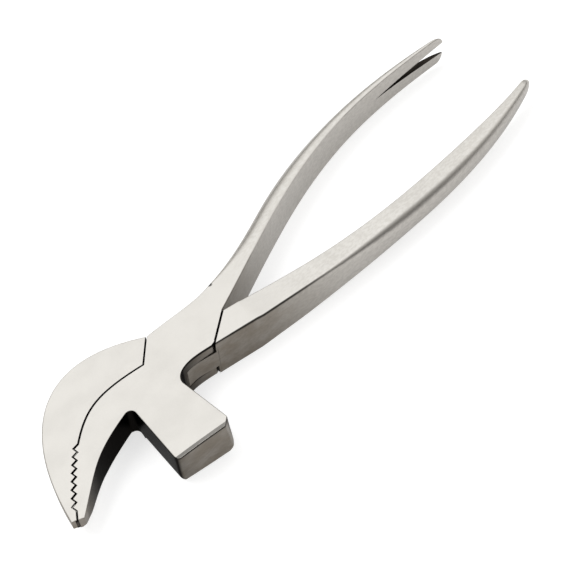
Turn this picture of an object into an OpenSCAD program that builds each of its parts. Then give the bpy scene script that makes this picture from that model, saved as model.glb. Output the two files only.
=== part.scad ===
/* [Head] */
// Thickness of the head across its two ground faces
head_t = 14.6; // [12:0.1:18]
// Reach of the jaws in front of the pivot
jaw_len = 62.1; // [56:0.5:70]
// How far the jaw tips hang below the pivot
jaw_drop = 16.4; // [14.4:0.2:19]
// Radius of the long arc that thins the jaws towards their tips
taper_r = 250; // [230:5:400]
// Distance in front of the pivot where that thinning starts
taper_start = 10; // [8:0.5:16]
// Gap between the closed jaws, across the tool
jaw_gap = 0.3; // [0.15:0.05:0.5]
// Gap between the closed jaws, along the tool
jaw_side_gap = 0.1; // [0.05:0.05:0.2]

/* [Teeth] */
// Number of teeth
teeth = 8; // [5:1:11]
// Length of the row of teeth along the tool
tooth_row = 14.7; // [12:0.1:16]
// How far the row of teeth falls towards the tips
tooth_fall = 13.6; // [11:0.1:15]

/* [Hammer] */
// Distance from the pivot to the striking face, along the hammer
hammer_reach = 32; // [28:0.2:36]
// Width of the striking face
hammer_w = 19.4; // [17.6:0.2:21]
// How much wider the hammer is at its face than at its root
hammer_flare = 4.2; // [3:0.2:5]
// Lean of the hammer towards the jaws, in degrees
hammer_lean = 9.9; // [8:0.1:12]
// Radius along the underside of the hammer
hammer_round = 2.6; // [1:0.2:4]
// Chamfer of the corners beside the striking face
hammer_chamfer = 1.3; // [0.5:0.1:2.2]

/* [Box joint] */
// Distance from the pivot to the cheeks' edge at the outer jaw
shoulder_a = 10.66; // [10.6:0.02:11]
// Distance from the pivot to the cheeks' edge at the plain handle
shoulder_b = 9.86; // [9.8:0.02:10.2]
// Gap between that edge and the outer jaw
gap_a = 0.35; // [0.3:0.05:0.6]
// Gap between the other edge and the plain handle
gap_b = 0.6; // [0.5:0.05:0.8]
// Thickness of the tongue
tongue_t = 6.9; // [5:0.1:8]
// Clearance between the tongue and each cheek
cheek_gap = 0.12; // [0.05:0.01:0.2]
// Radius of the tongue's hub
hub_r = 10.2; // [9.8:0.05:10.3]
// Clearance round the hub
hub_gap = 0.2; // [0.15:0.05:0.3]
// Diameter of the pivot pin
pin_d = 7; // [5:0.5:9]
// Radial running clearance of the tongue on the pin
pin_gap = 0.05; // [0.02:0.01:0.1]

/* [Handles] */
// Reach of the plain handle behind the pivot
handle_len = 164.8; // [140:0.4:180]
// How much shorter the claw handle is
claw_back = 1.2; // [0:0.2:4]
// Thickness of the claw handle at its end
claw_t = 12.2; // [10:0.2:14]
// Thickness of the plain handle near its end
plain_t = 5.2; // [4:0.2:8]
// Length of the plain handle's rounded end
plain_nose = 5; // [3:0.2:8]
// Length of the rounded ends of the claw's tines
claw_nose = 6; // [3:0.5:9]
// Thickness of each tine at its very end
tine_end = 0.7; // [0.5:0.1:1]

/* [Claw] */
// Length of the claw's slot
claw_len = 38; // [25:1:45]
// Width of the slot at its mouth
claw_mouth = 4.6; // [3:0.2:5]

/* [Hidden] */
steel = [0.80, 0.79, 0.77];
pin_steel = [0.62, 0.62, 0.62];
$fn = 64;
mid_z = head_t / 2;
far = 60;

// Directions from the pivot square to the two edges of the cheeks
angle_a = 128.5;
angle_b = -60.35;
// How far each edge runs to either side of that foot
a_up = 1.7;
a_down = 8.84;
b_up = 12.7;
b_down = 0.67;

// Where the plain handle's swept stretch leaves its block
plain_root = 22;
// How far inside the blocks the swept stretches start, and by how much they are smaller
root_lap = 1;
root_inset = 0.08;
// Fineness of the head's curves, of the handles and of their corners
curve_steps = 14;
ring_steps = 26;
corner_steps = 4;
taper_steps = 9;
// How closely the rings crowd towards the handles' ends, and how small the last one is
end_crowding = 1.6;
least_end = 0.15;
// How much of its width a tine keeps as it is rounded off
blade_keeps = 0.3;
// Where each handle's outer ovals start to grow, and where they are full
claw_oval_run = [30, 75];
plain_oval_run = [24, 90];
// Radius of the handles' crisp edges
crisp = 0.25;
// Shares of a handle's width and thickness that its outer ovals take
claw_oval = [0.75, 0.36];
plain_oval = [0.5, 0.42];

// Heights across the tool that pull each handle wall into its curve, root to end
claw_inner = [-2.28, 6.7, 18.3, 25, 20.2, 17.2];
claw_outer = [7.2, 7.4, 31.6, 25, 26.9, 18.2];
plain_inner = [-2.5, -11.3, -21.5, -17.6, -22.6, -17.9];
plain_outer = [-13, -18.4, -26.4, -28.9, -28.1, -20.5];
// Thicknesses that pull each handle's side view into its curve
claw_heights = [head_t, head_t + 1.3, 11.6, claw_t];
plain_heights = [head_t, 10.1, 13.8, plain_t];

function dir(a) = [cos(a), sin(a)];
function foot(a, r, side) = r * dir(a) + side * dir(a - 90);
function fact(n) = n <= 1 ? 1 : n * fact(n - 1);
function choose(n, k) = fact(n) / fact(k) / fact(n - k);
// A smooth curve that starts and ends at the row's ends and is pulled by the rest
function pull(v, t, k = 0) =
    let (n = len(v) - 1, term = choose(n, k) * pow(t, k) * pow(1 - t, n - k) * v[k])
    k == n ? term : term + pull(v, t, k + 1);
function curve(v) = [for (i = [0:curve_steps]) pull(v, i / curve_steps)];
function part_of(v, from, to) = [for (i = [from:to]) v[i]];
function backwards(v) = [for (i = [len(v) - 1:-1:0]) v[i]];
function moved(v, by) = [for (p = v) p + by];
function handle_at(v, x) = pull(v, (x - claw_root) / (handle_len - claw_root));

// Corners of the cheeks, seen from above with the jaws to the left
a_top = foot(angle_a, shoulder_a, a_up);
a_low = foot(angle_a, shoulder_a, -a_down);
b_low = foot(angle_b, shoulder_b, b_down);
b_top = foot(angle_b, shoulder_b, -b_up);
// The claw handle leaves the head where the handles part
claw_root = b_top[0];
claw_end = handle_len - claw_back;

// The jaws' end face, and the line along which they meet
tip_out = [-jaw_len, 2.1 - jaw_drop];
tip_in = [3.2 - jaw_len, -jaw_drop];
tip_mid = (tip_out + tip_in) / 2;
tooth_end = tip_mid + [1.8, 2];
tooth_start = tooth_end + [tooth_row, tooth_fall];
tooth_step = [-tooth_row / teeth, 0];
tooth_drop = [0, -tooth_fall / teeth];
meeting_curve = curve([a_low, a_low + [-15.4, 4], tooth_start + [9.8, 6.4], tooth_start]);
// The row of teeth bows a little towards the outer jaw
tooth_bow = [-0.2, 0.28];
tooth_points = [
    for (i = [1:teeth])
    for (k = [0, 1])
    let (s = (i - 0.5 + k / 2) / teeth)
    tooth_start + i * tooth_step + (i - 1 + k) * tooth_drop + 4 * s * (1 - s) * tooth_bow
];
meeting_line = concat(part_of(meeting_curve, 1, curve_steps), tooth_points, [tip_mid]);
jaw_clear = [-jaw_side_gap, jaw_gap];
outer_back = [[-30.7, 24.8], [7.6, 24.6]];

// The notch between the inner jaw and the hammer
crotch_r = 1.85;
crotch_at = [-28.9, -6.1];
// Its lower end is eased: how far outwards, and how high
crotch_ease = [2.8, 3.6];
crotch_turn = [98, -hammer_lean - 4];
crotch_arc = [
    for (i = [0:6])
    crotch_at + crotch_r * dir(crotch_turn[0] + (crotch_turn[1] - crotch_turn[0]) * i / 6)
];
inner_edge = curve([tip_in, tip_in + [13, 7.5], crotch_arc[0] + [-15.8, -2.3], crotch_arc[0]]);

// The hammer's own directions, outwards and across, and where its middle passes the pivot
h_out = dir(-90 - hammer_lean);
h_across = dir(-hammer_lean);
hammer_side = 16.9;
// The striking face leans a little more than the hammer
face_turn = 3.1;
h_face = dir(-hammer_lean - face_turn);
face_mid = h_out * hammer_reach - h_across * hammer_side;
face_l = face_mid - h_face * hammer_w / 2;
face_r = face_mid + h_face * hammer_w / 2;
// How far the right side of the hammer runs
hammer_run = 19.3;
root_r = face_mid - h_out * hammer_run + h_across * (hammer_w - hammer_flare) / 2;
root_l = crotch_arc[6];
side_l = (face_l - root_l) / norm(face_l - root_l);
side_r = (face_r - root_r) / norm(face_r - root_r);

// Edges of the cheeks above the claw handle's root and beside the hammer
back_edge = curve([a_top, [1, 9.2], [9, 7.3], [claw_root, claw_outer[0]]]);
belly_start = [-6.3, -7.3];
armpit = curve([root_r, root_r + [0.2, 1.5], belly_start + [-3.3, -0.3], belly_start]);
belly = curve([belly_start, belly_start + [2.8, 0.4], b_low + [-3.8, 1], b_low]);

// Everything of the hammer half in plan, apart from the swept handle
hammer_half_plan = concat(
    [a_top, a_low],
    meeting_line,
    [tip_in],
    part_of(inner_edge, 1, curve_steps),
    part_of(crotch_arc, 1, 6),
    [face_l - side_l * hammer_chamfer, face_l + h_face * hammer_chamfer],
    [face_r - h_face * hammer_chamfer, face_r - side_r * hammer_chamfer],
    armpit,
    part_of(belly, 1, curve_steps),
    [b_top],
    part_of(backwards(back_edge), 0, curve_steps - 1)
);

// The outer jaw in plan
jaw_top = foot(angle_a, shoulder_a + gap_a, a_up);
jaw_low = foot(angle_a, shoulder_a + gap_a, -a_down);
jaw_back = curve([tip_out, tip_out + outer_back[1], a_top + outer_back[0], jaw_top]);
outer_jaw_plan = concat([jaw_low], moved(meeting_line, jaw_clear), jaw_back);

// The root of the plain handle in plan
plain_low = foot(angle_b, shoulder_b + gap_b, b_down);
plain_top = foot(angle_b, shoulder_b + gap_b, -b_up);
plain_block_plan = [
    plain_low,
    plain_top,
    [plain_root, handle_at(plain_inner, plain_root)],
    [plain_root, handle_at(plain_outer, plain_root)]
];

// What lies within the cheeks' edges and the plain handle's root, where the tongue is flush
tongue_limits = concat(
    [[-far, far], [a_top[0], far]],
    back_edge,
    [[far, claw_outer[0]], [far, -far], [plain_root, -far]],
    [plain_block_plan[3], plain_low],
    backwards(belly),
    [[-far, belly[0][1]]]
);

// Directions in which the tongue's straight sides touch its hub
slot_r = hub_r + hub_gap;
side_bite = 0.1;
// How far the slot's arms run past the cheeks' edges and corners, and the tongue's arms
slot_past = 3;
tongue_past = 1.6;
side_a = atan2(a_low[1], a_low[0]) + acos(slot_r / norm(a_low));
side_b = atan2(b_top[1], b_top[0]) + acos(slot_r / norm(b_top));

// One solid of the given plan between two heights
module slab(plan, low, high) {
    translate([0, 0, low])
    linear_extrude(high - low)
    polygon(plan);
}

// The tongue's shape in plan, or the slot's: a hub of radius r and two arms. The arms'
// sides cut into the hub a little, because a side that only touches it leaves a sliver.
module hub_and_arms(r, low, high, past) {
    side = r - side_bite;
    reach_a = sqrt(pow(norm(a_low), 2) - side * side) + past;
    reach_b = sqrt(pow(norm(b_top), 2) - side * side) + past;
    translate([0, 0, low])
    cylinder(r = r, h = high - low);
    slab([
        [0, 0],
        side * dir(side_a),
        foot(side_a, side, reach_a),
        foot(angle_a, shoulder_a + past, a_up + slot_past)
    ], low, high);
    slab([
        [0, 0],
        side * dir(side_b),
        foot(side_b, side, reach_b),
        foot(angle_b, shoulder_b + past, b_down + slot_past)
    ], low, high);
}

// The lens that thins the jaws alike from both faces
module side_view() {
    function thin(x) = taper_r - sqrt(taper_r * taper_r - pow(x + taper_start, 2));
    xs = [for (i = [0:taper_steps]) -taper_start - (jaw_len + 2 - taper_start) * i / taper_steps];
    translate([0, far, 0])
    rotate([90, 0, 0])
    linear_extrude(2 * far)
    polygon(concat(
        [[handle_len, 0], [handle_len, head_t]],
        [for (x = xs) [x, head_t - thin(x)]],
        [for (i = [taper_steps:-1:0]) [xs[i], thin(xs[i])]]
    ));
}

// Rounds one lower edge of the hammer, from just past its root p outwards beyond its face
module round_under(p, q, side) {
    turn = atan2(q[1] - p[1], q[0] - p[0]);
    translate([p[0], p[1], 0])
    rotate([0, 0, turn])
    difference() {
        translate([hammer_round / 2, side < 0 ? -hammer_round : -1, -1])
        cube([far, hammer_round + 1, hammer_round + 1]);
        translate([-far, side * hammer_round, hammer_round])
        rotate([0, 90, 0])
        cylinder(r = hammer_round, h = 3 * far);
    }
}

// Cone that eases the lower end of the notch. It starts inside the notch's own radius.
module crotch_cone() {
    start = 0.2;
    slope = (crotch_ease[0] + start) / crotch_ease[1];
    translate([crotch_at[0], crotch_at[1], -1])
    cylinder(r1 = crotch_r + crotch_ease[0] + slope, r2 = crotch_r - start, h = crotch_ease[1] + 1);
}

// One cross-section of a handle: oval corners of size outer at yo and inner at yi
function corner(y, z, size, s, from) = [
    for (i = [0:corner_steps])
    let (a = from + 90 * i / corner_steps)
    [y + s * size[0] * cos(a), z + size[1] * sin(a)]
];
function section(yi, yo, h, outer, inner) =
    let (s = sign(yo - yi), zo = h / 2 - outer[1], zi = h / 2 - inner[1])
    concat(
        corner(yo - s * outer[0], mid_z + zo, outer, s, 0),
        corner(yi + s * inner[0], mid_z + zi, inner, s, 90),
        corner(yi + s * inner[0], mid_z - zi, inner, s, 180),
        corner(yo - s * outer[0], mid_z - zo, outer, s, 270)
    );

// A handle swept from its root to its end. Its outer corners grow along grow_run into
// ovals that take the given shares of its width and thickness. Over the nose its end is
// rounded: a blade keeps its inner wall and enough thickness for the slot between its
// tines, and a point shrinks alike all round.
module handle(root, end, inner, outer, heights, nose, blade, shares, grow_run) {
    xs = [
        for (i = [0:ring_steps])
        let (u = i / ring_steps)
        root - root_lap + (end - root + root_lap) * (1 - pow(1 - u, end_crowding))
    ];
    rings = [
        for (x = xs)
        let (
            t = max(0, (x - claw_root) / (end - claw_root)),
            past = max(0, (x - end + nose) / nose),
            shrink = max(least_end, sqrt(1 - past * past)),
            yi = pull(inner, t),
            yo = pull(outer, t),
            s = sign(yo - yi),
            inset = x < root + root_lap ? root_inset : 0,
            full_h = min(head_t, pull(heights, t)),
            w_share = blade ? blade_keeps + (1 - blade_keeps) * shrink : shrink,
            w = abs(yo - yi) * w_share - 2 * inset,
            spare_h = (full_h - claw_mouth - 2 * tine_end) / (1 - least_end),
            h = (blade ? full_h - spare_h * (1 - shrink) : full_h * shrink) - 2 * inset,
            grow = min(1, max(0, (x - grow_run[0]) / (grow_run[1] - grow_run[0]))),
            edge = [min(crisp, w / 5), min(crisp, h / 5)],
            oval = [for (k = [0, 1]) max(edge[k], [w, h][k] * shares[k] * grow)],
            yc = blade ? yi + s * (w / 2 + inset) : (yi + yo) / 2
        )
        [for (p = section(yc - s * w / 2, yc + s * w / 2, h, oval, edge)) [x, p[0], p[1]]]
    ];
    n = len(rings[0]);
    sides = [
        for (i = [0:ring_steps - 1])
        for (j = [0:n - 1])
        let (k = (j + 1) % n, a = i * n + j, b = i * n + n + j, c = i * n + n + k, d = i * n + k)
        for (f = [[a, b, c], [a, c, d]])
        f
    ];
    caps = [[for (j = [0:n - 1]) j], [for (j = [n - 1:-1:0]) ring_steps * n + j]];
    faces = concat(sides, caps);
    flip = outer[0] < inner[0];
    polyhedron([for (r = rings) for (p = r) p], flip ? [for (f = faces) backwards(f)] : faces);
}

// Half with the inner jaw, the hammer, the two cheeks and the claw handle
module hammer_half() {
    color(steel)
    difference() {
        union() {
            intersection() {
                slab(hammer_half_plan, 0, head_t);
                side_view();
            }
            handle(
                claw_root, claw_end, claw_inner, claw_outer, claw_heights,
                claw_nose, true, claw_oval, claw_oval_run
            );
        }
        slot_low = mid_z - tongue_t / 2 - cheek_gap;
        hub_and_arms(slot_r, slot_low, head_t - slot_low, slot_past);
        translate([0, 0, -1])
        cylinder(d = pin_d, h = head_t + 2);
        round_under(root_l, face_l, 1);
        round_under(root_r, face_r, -1);
        crotch_cone();
        translate([0, far, 0])
        rotate([90, 0, 0])
        linear_extrude(2 * far)
        polygon([
            [claw_end - claw_len, mid_z],
            [claw_end + claw_len, mid_z - claw_mouth],
            [claw_end + claw_len, mid_z + claw_mouth]
        ]);
    }
}

// Half with the outer jaw, the tongue and the plain handle
module tongue_half() {
    low = mid_z - tongue_t / 2;
    color(steel)
    difference() {
        union() {
            intersection() {
                slab(outer_jaw_plan, 0, head_t);
                side_view();
            }
            slab(plain_block_plan, 0, head_t);
            handle(
                plain_root, handle_len, plain_inner, plain_outer, plain_heights,
                plain_nose, false, plain_oval, plain_oval_run
            );
            intersection() {
                hub_and_arms(hub_r, low, head_t - low, tongue_past);
                slab(tongue_limits, 0, head_t);
            }
        }
        translate([0, 0, -1])
        cylinder(r = pin_d / 2 + pin_gap, h = head_t + 2);
    }
}

// Pivot pin, ground flush with both faces
module pivot_pin() {
    color(pin_steel)
    cylinder(d = pin_d, h = head_t);
}

hammer_half();
tongue_half();
pivot_pin();
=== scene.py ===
"""Lasting pliers: a shoemaker's pliers with stair teeth, a hammer and a forked claw."""

import math

import bpy
from mathutils import Matrix, Vector


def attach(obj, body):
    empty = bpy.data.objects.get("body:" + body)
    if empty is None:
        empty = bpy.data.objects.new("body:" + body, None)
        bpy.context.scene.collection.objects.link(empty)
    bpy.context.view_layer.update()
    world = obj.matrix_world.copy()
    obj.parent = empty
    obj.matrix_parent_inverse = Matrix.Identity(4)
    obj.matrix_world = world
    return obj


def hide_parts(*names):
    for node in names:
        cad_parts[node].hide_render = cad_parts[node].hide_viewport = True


bl_info = {
    "name": "Lasting Pliers",
    "version": (1, 0, 0),
    "blender": (4, 5, 0),
    "location": "3D View > Sidebar > Lasting Pliers",
    "description": "Builds a pair of lasting pliers round its CAD frame",
    "category": "Add Mesh",
}

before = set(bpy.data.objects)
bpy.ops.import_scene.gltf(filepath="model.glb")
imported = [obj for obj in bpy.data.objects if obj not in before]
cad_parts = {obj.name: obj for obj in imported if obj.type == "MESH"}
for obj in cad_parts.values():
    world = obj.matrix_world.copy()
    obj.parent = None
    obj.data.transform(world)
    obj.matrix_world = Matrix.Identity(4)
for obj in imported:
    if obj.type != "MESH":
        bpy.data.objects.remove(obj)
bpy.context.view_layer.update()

MM = 0.001
HAMMER_BODY = "hammer_body"
TONGUE_BODY = "tongue_body"

# Head: the cheeks' edges are lines square to these directions from the pivot
ANGLE_A, ANGLE_B = 128.5, -60.35
SHOULDER_A, SHOULDER_B = 10.66, 9.86
GAP_A, GAP_B = 0.35, 0.6
A_UP, A_DOWN = 1.7, 8.84
B_UP, B_DOWN = 12.7, 0.67
HUB_R, HUB_GAP, SIDE_BITE = 10.2, 0.2, 0.1
TONGUE_T, CHEEK_GAP = 6.9, 0.12
SLOT_PAST, TONGUE_PAST = 3.0, 1.6
PIN_R, PIN_GAP = 3.5, 0.05

# Jaws
JAW_LEN, JAW_DROP = 62.1, 16.4
TAPER_R, TAPER_START = 250.0, 10.0
JAW_GAP, JAW_SIDE_GAP = 0.3, 0.1
TEETH, TOOTH_ROW, TOOTH_FALL = 8, 14.7, 13.6

# Notch and hammer
CROTCH_R, CROTCH_EASE = 1.85, (2.8, 3.6)
HAMMER_REACH, HAMMER_W, HAMMER_FLARE = 32.0, 19.4, 4.2
HAMMER_LEAN, FACE_TURN, HAMMER_SIDE, HAMMER_RUN = 9.9, 3.1, 16.9, 19.3
HAMMER_CHAMFER = 1.3
# The far lower edge's rounding as a share of the near one's, and the striking face's edges
FAR_ROUNDER, BROKEN_BACK, BROKEN_DOWN = 1.35, 0.75, 0.6
# How far the notch's eased lower edge runs out, and how wide and high it is at first
NOTCH_RUN, NOTCH_EASE = 17.0, (2.2, 2.9)

# Edges broken along the joint: at its shoulders, along the jaws' line and on the teeth
SHOULDER_EDGE, LINE_EDGE, TREAD_EDGE = 0.12, 0.17, 0.22
# How far below the faces the gaps begin to be backed
CORE_DOWN = 0.35

# A face or an edge belongs to a line or wall within these distances; the joint's inside
# ends at a distance from the pivot. Ground faces are flat, and bevels are small or tilted
ON_LINE, ON_WALL, INNER_REACH = 0.02, 0.05, 16
FLAT, SMALL = 0.98, 0.3

# Handles: heights across the tool that pull each wall into its curve, root to end
HANDLE_END, CLAW_END = 164.8, 163.6
PLAIN_ROOT = 22.0
PLAIN_NOSE, CLAW_NOSE, TINE_END = 5.0, 6.0, 0.7
CLAW_INNER = (-2.28, 6.7, 18.3, 25.0, 20.2, 17.2)
CLAW_OUTER = (7.2, 7.4, 31.6, 25.0, 26.9, 18.2)
PLAIN_INNER = (-2.5, -11.3, -21.5, -17.6, -22.6, -17.9)
PLAIN_OUTER = (-13.0, -18.4, -26.4, -28.9, -28.1, -20.5)
CLAW_HEIGHTS = (14.6, 15.9, 11.6, 12.2)
PLAIN_HEIGHTS = (14.6, 10.1, 13.8, 5.2)
# Width in plan over which the claw handle's top falls away to its inner wall
SOFT_SIDE = 2.2

# Stage, in m and degrees
LAMP_AT = (-0.25, 0.45, 0.9)
CAMERA_AT = (-0.1380, -0.1763, 0.2971)
LOOKS_ALONG, LOOKS_ACROSS, ROLL = (0.467, 0.4417, -0.766), (0.6872, -0.7265, 0), -6


def linear(code):
    """Linear colour of an sRGB hex value."""
    parts = [int(code[i : i + 2], 16) / 255 for i in (1, 3, 5)]
    bent = [c / 12.92 if c <= 0.04045 else ((c + 0.055) / 1.055) ** 2.4 for c in parts]
    return (*bent, 1.0)


# ---------------------------------------------------------------- plan shapes, in mm


def along(angle):
    """Unit vector in plan at an angle in degrees."""
    return Vector((math.cos(math.radians(angle)), math.sin(math.radians(angle))))


def foot(angle, reach, side):
    """Point on the line square to a direction, at a distance from the pivot."""
    return along(angle) * reach + along(angle - 90) * side


def pull(values, t):
    """Point at t of the curve that starts and ends at the row's ends."""
    n = len(values) - 1
    terms = [values[k] * (math.comb(n, k) * t**k * (1 - t) ** (n - k)) for k in range(n + 1)]
    total = terms[0]
    for term in terms[1:]:
        total = total + term
    return total


def curve(points, steps=28):
    """Points along the curve pulled by a few others."""
    row = [Vector(p) for p in points]
    return [pull(row, i / steps) for i in range(steps + 1)]


def arc(centre, radius, start, stop, steps):
    """Points along an arc between two angles in degrees."""
    turns = [start + (stop - start) * i / steps for i in range(steps + 1)]
    return [Vector(centre) + along(turn) * radius for turn in turns]


A_TOP = foot(ANGLE_A, SHOULDER_A, A_UP)
A_LOW = foot(ANGLE_A, SHOULDER_A, -A_DOWN)
B_LOW = foot(ANGLE_B, SHOULDER_B, B_DOWN)
B_TOP = foot(ANGLE_B, SHOULDER_B, -B_UP)
CLAW_ROOT = B_TOP.x
PLAIN_LOW = foot(ANGLE_B, SHOULDER_B + GAP_B, B_DOWN)
PLAIN_TOP = foot(ANGLE_B, SHOULDER_B + GAP_B, -B_UP)

TIP_OUT = Vector((-JAW_LEN, 2.1 - JAW_DROP))
TIP_IN = Vector((3.2 - JAW_LEN, -JAW_DROP))
TIP_MID = (TIP_OUT + TIP_IN) / 2
TOOTH_END = TIP_MID + Vector((1.8, 2.0))
TOOTH_START = TOOTH_END + Vector((TOOTH_ROW, TOOTH_FALL))
TOOTH_BOW = Vector((-0.2, 0.28))

CROTCH_AT = Vector((-28.9, -6.1))
CROTCH = arc(CROTCH_AT, CROTCH_R, 98, -HAMMER_LEAN - 4, 12)
TIP_WALL = Vector((13, 7.5))
JAW_INSIDE = curve(
    [TIP_IN, TIP_IN + TIP_WALL, CROTCH[0] + Vector((-15.8, -2.3)), CROTCH[0]],
    30,
)

H_OUT = along(-90 - HAMMER_LEAN)
H_ACROSS = along(-HAMMER_LEAN)
H_FACE = along(-HAMMER_LEAN - FACE_TURN)
FACE_MID = H_OUT * HAMMER_REACH - H_ACROSS * HAMMER_SIDE
FACE_L = FACE_MID - H_FACE * HAMMER_W / 2
FACE_R = FACE_MID + H_FACE * HAMMER_W / 2
ROOT_R = FACE_MID - H_OUT * HAMMER_RUN + H_ACROSS * (HAMMER_W - HAMMER_FLARE) / 2
ROOT_L = CROTCH[-1]
BELLY_START = Vector((-6.3, -7.3))
BELLY = curve(
    [BELLY_START, BELLY_START + Vector((2.8, 0.4)), B_LOW + Vector((-3.8, 1)), B_LOW],
    20,
)
ARMPIT = curve(
    [ROOT_R, ROOT_R + Vector((0.2, 1.5)), BELLY_START + Vector((-3.3, -0.3)), BELLY_START],
    20,
)
BACK = curve([A_TOP, (1, 9.2), (9, 7.3), (CLAW_ROOT, CLAW_OUTER[0])], 20)


def meeting_line():
    """The line where the jaws meet, from the joint to the tips."""
    bend = (A_LOW + Vector((-15.4, 4)), TOOTH_START + Vector((9.8, 6.4)))
    row = curve([A_LOW, *bend, TOOTH_START])[1:]
    for i in range(1, TEETH + 1):
        for k in (0, 1):
            s = (i - 0.5 + k / 2) / TEETH
            fall = Vector((TOOTH_ROW * i, TOOTH_FALL * (i - 1 + k))) / TEETH
            row.append(TOOTH_START - fall + TOOTH_BOW * 4 * s * (1 - s))
    return row + [TIP_MID]


MEETING = meeting_line()


def soft_corner(before, tip, after):
    """A corner drawn as a short curve between two points beside it."""
    middle = (before + after) / 2
    return curve([before, middle.lerp(tip, 0.75), after], 6)


def hammer_half_plan():
    """Head of the half with the hammer, seen from above."""
    side_l = (FACE_L - ROOT_L).normalized()
    side_r = (FACE_R - ROOT_R).normalized()
    cheek = (B_TOP - B_LOW).normalized()
    return (
        [A_TOP, A_LOW]
        + MEETING
        + [TIP_IN]
        + JAW_INSIDE[1:]
        + CROTCH[1:]
        + soft_corner(FACE_L - side_l * HAMMER_CHAMFER, FACE_L, FACE_L + H_FACE * HAMMER_CHAMFER)
        + soft_corner(FACE_R - H_FACE * HAMMER_CHAMFER, FACE_R, FACE_R - side_r * HAMMER_CHAMFER)
        + ARMPIT
        + BELLY[1:-1]
        + [B_LOW + cheek * 0.7]
        + [B_TOP]
        + BACK[:0:-1]
    )


def outer_jaw_plan(share=1.0):
    """Outer jaw, seen from above, with a share of the gap to the other jaw."""
    jaw_top = foot(ANGLE_A, SHOULDER_A + GAP_A * share, A_UP)
    jaw_low = foot(ANGLE_A, SHOULDER_A + GAP_A * share, -A_DOWN)
    clear = Vector((-JAW_SIDE_GAP, JAW_GAP)) * share
    bulge = (TIP_OUT + Vector((7.6, 24.6)), A_TOP + Vector((-30.7, 24.8)))
    back = curve([TIP_OUT, *bulge, jaw_top], 44)
    return [jaw_low] + [p + clear for p in MEETING] + back


def plain_wall(values, x):
    """Height across the tool of the plain handle's wall."""
    return pull(values, (x - CLAW_ROOT) / (HANDLE_END - CLAW_ROOT))


PLAIN_IN = Vector((PLAIN_ROOT, plain_wall(PLAIN_INNER, PLAIN_ROOT)))
PLAIN_OUT = Vector((PLAIN_ROOT, plain_wall(PLAIN_OUTER, PLAIN_ROOT)))


def hub_and_arms(radius, past):
    """The tongue's shape in plan, or the slot's: a hub and two arms."""
    side = radius - SIDE_BITE
    slot_r = HUB_R + HUB_GAP
    turn_a = math.degrees(math.atan2(A_LOW.y, A_LOW.x) + math.acos(slot_r / A_LOW.length)) % 360
    turn_b = math.degrees(math.atan2(B_TOP.y, B_TOP.x) + math.acos(slot_r / B_TOP.length))
    reach_a = math.sqrt(A_LOW.length**2 - side**2) + past
    reach_b = math.sqrt(B_TOP.length**2 - side**2) + past
    corner_a = foot(ANGLE_A, SHOULDER_A + past, A_UP + SLOT_PAST)
    corner_b = foot(ANGLE_B, SHOULDER_B + past, B_DOWN + SLOT_PAST)
    from_a = math.degrees(math.atan2(corner_a.y, corner_a.x))
    from_b = math.degrees(math.atan2(corner_b.y, corner_b.x))
    bite = math.degrees(math.acos(side / radius))
    return (
        [foot(turn_a, side, reach_a), corner_a]
        + arc((0, 0), radius, from_a, turn_b + bite, 24)
        + [foot(turn_b, side, reach_b), corner_b]
        + arc((0, 0), radius, from_b, turn_a - 360 + bite, 24)
    )


# The tongue's side runs on into the plain handle's without a step
WALL_ON = (PLAIN_OUT - PLAIN_LOW).normalized()
LEAVES_BELLY = BELLY[7] + (BELLY[8] - BELLY[6]) * 1.6
TONGUE_WALL = BELLY[:7] + curve(
    [BELLY[7], LEAVES_BELLY, PLAIN_LOW - WALL_ON * 3, PLAIN_LOW],
    12,
)


def thinning(x):
    """How far each face of the jaws falls from the head's own, in mm."""
    reach = max(0.0, -TAPER_START - x)
    return TAPER_R - math.sqrt(TAPER_R**2 - reach**2)


def from_line(point, row):
    """Distance in plan from a point to a row of joined points, in mm."""
    best = 1e9
    for a, b in zip(row, row[1:]):
        span = b - a
        share = max(0.0, min(1.0, (point - a).dot(span) / max(span.length_squared, 1e-9)))
        best = min(best, (point - a - span * share).length)
    return best


# ---------------------------------------------------------------- modelling helpers


def select_only(piece):
    """Leaves one object selected and active."""
    bpy.ops.object.select_all(action="DESELECT")
    piece.select_set(True)
    bpy.context.view_layer.objects.active = piece


def outward(piece):
    """Turns all of a piece's normals outwards."""
    select_only(piece)
    bpy.ops.object.mode_set(mode="EDIT")
    bpy.ops.mesh.select_all(action="SELECT")
    bpy.ops.mesh.normals_make_consistent(inside=False)
    bpy.ops.object.mode_set(mode="OBJECT")


def plate(name, outline, low, high):
    """A plate whose outline is a row of points in plan, between two heights in mm."""
    bpy.ops.object.select_all(action="DESELECT")
    bpy.ops.mesh.primitive_circle_add(vertices=len(outline), radius=1, fill_type="NGON")
    piece = bpy.context.object
    piece.name = piece.data.name = name
    for vertex, point in zip(piece.data.vertices, outline):
        vertex.co = Vector((point.x, point.y, low)) * MM
    bpy.ops.object.mode_set(mode="EDIT")
    bpy.ops.mesh.select_all(action="SELECT")
    bpy.ops.mesh.extrude_region_move(TRANSFORM_OT_translate={"value": (0, 0, (high - low) * MM)})
    bpy.ops.object.mode_set(mode="OBJECT")
    outward(piece)
    return piece


def thin_jaws(piece, head_t):
    """Cuts a plate into strips in front of the pivot and bends both faces down to the arc."""
    select_only(piece)
    bpy.ops.object.mode_set(mode="EDIT")
    stations = 30
    for i in range(stations + 1):
        x = -TAPER_START - (JAW_LEN - 1 - TAPER_START) * i / stations
        bpy.ops.mesh.select_all(action="SELECT")
        bpy.ops.mesh.bisect(plane_co=(x * MM, 0, 0), plane_no=(1, 0, 0))
    bpy.ops.object.mode_set(mode="OBJECT")
    for vertex in piece.data.vertices:
        fall = thinning(vertex.co.x / MM)
        vertex.co.z += -fall * MM if vertex.co.z > head_t * MM / 2 else fall * MM


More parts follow.
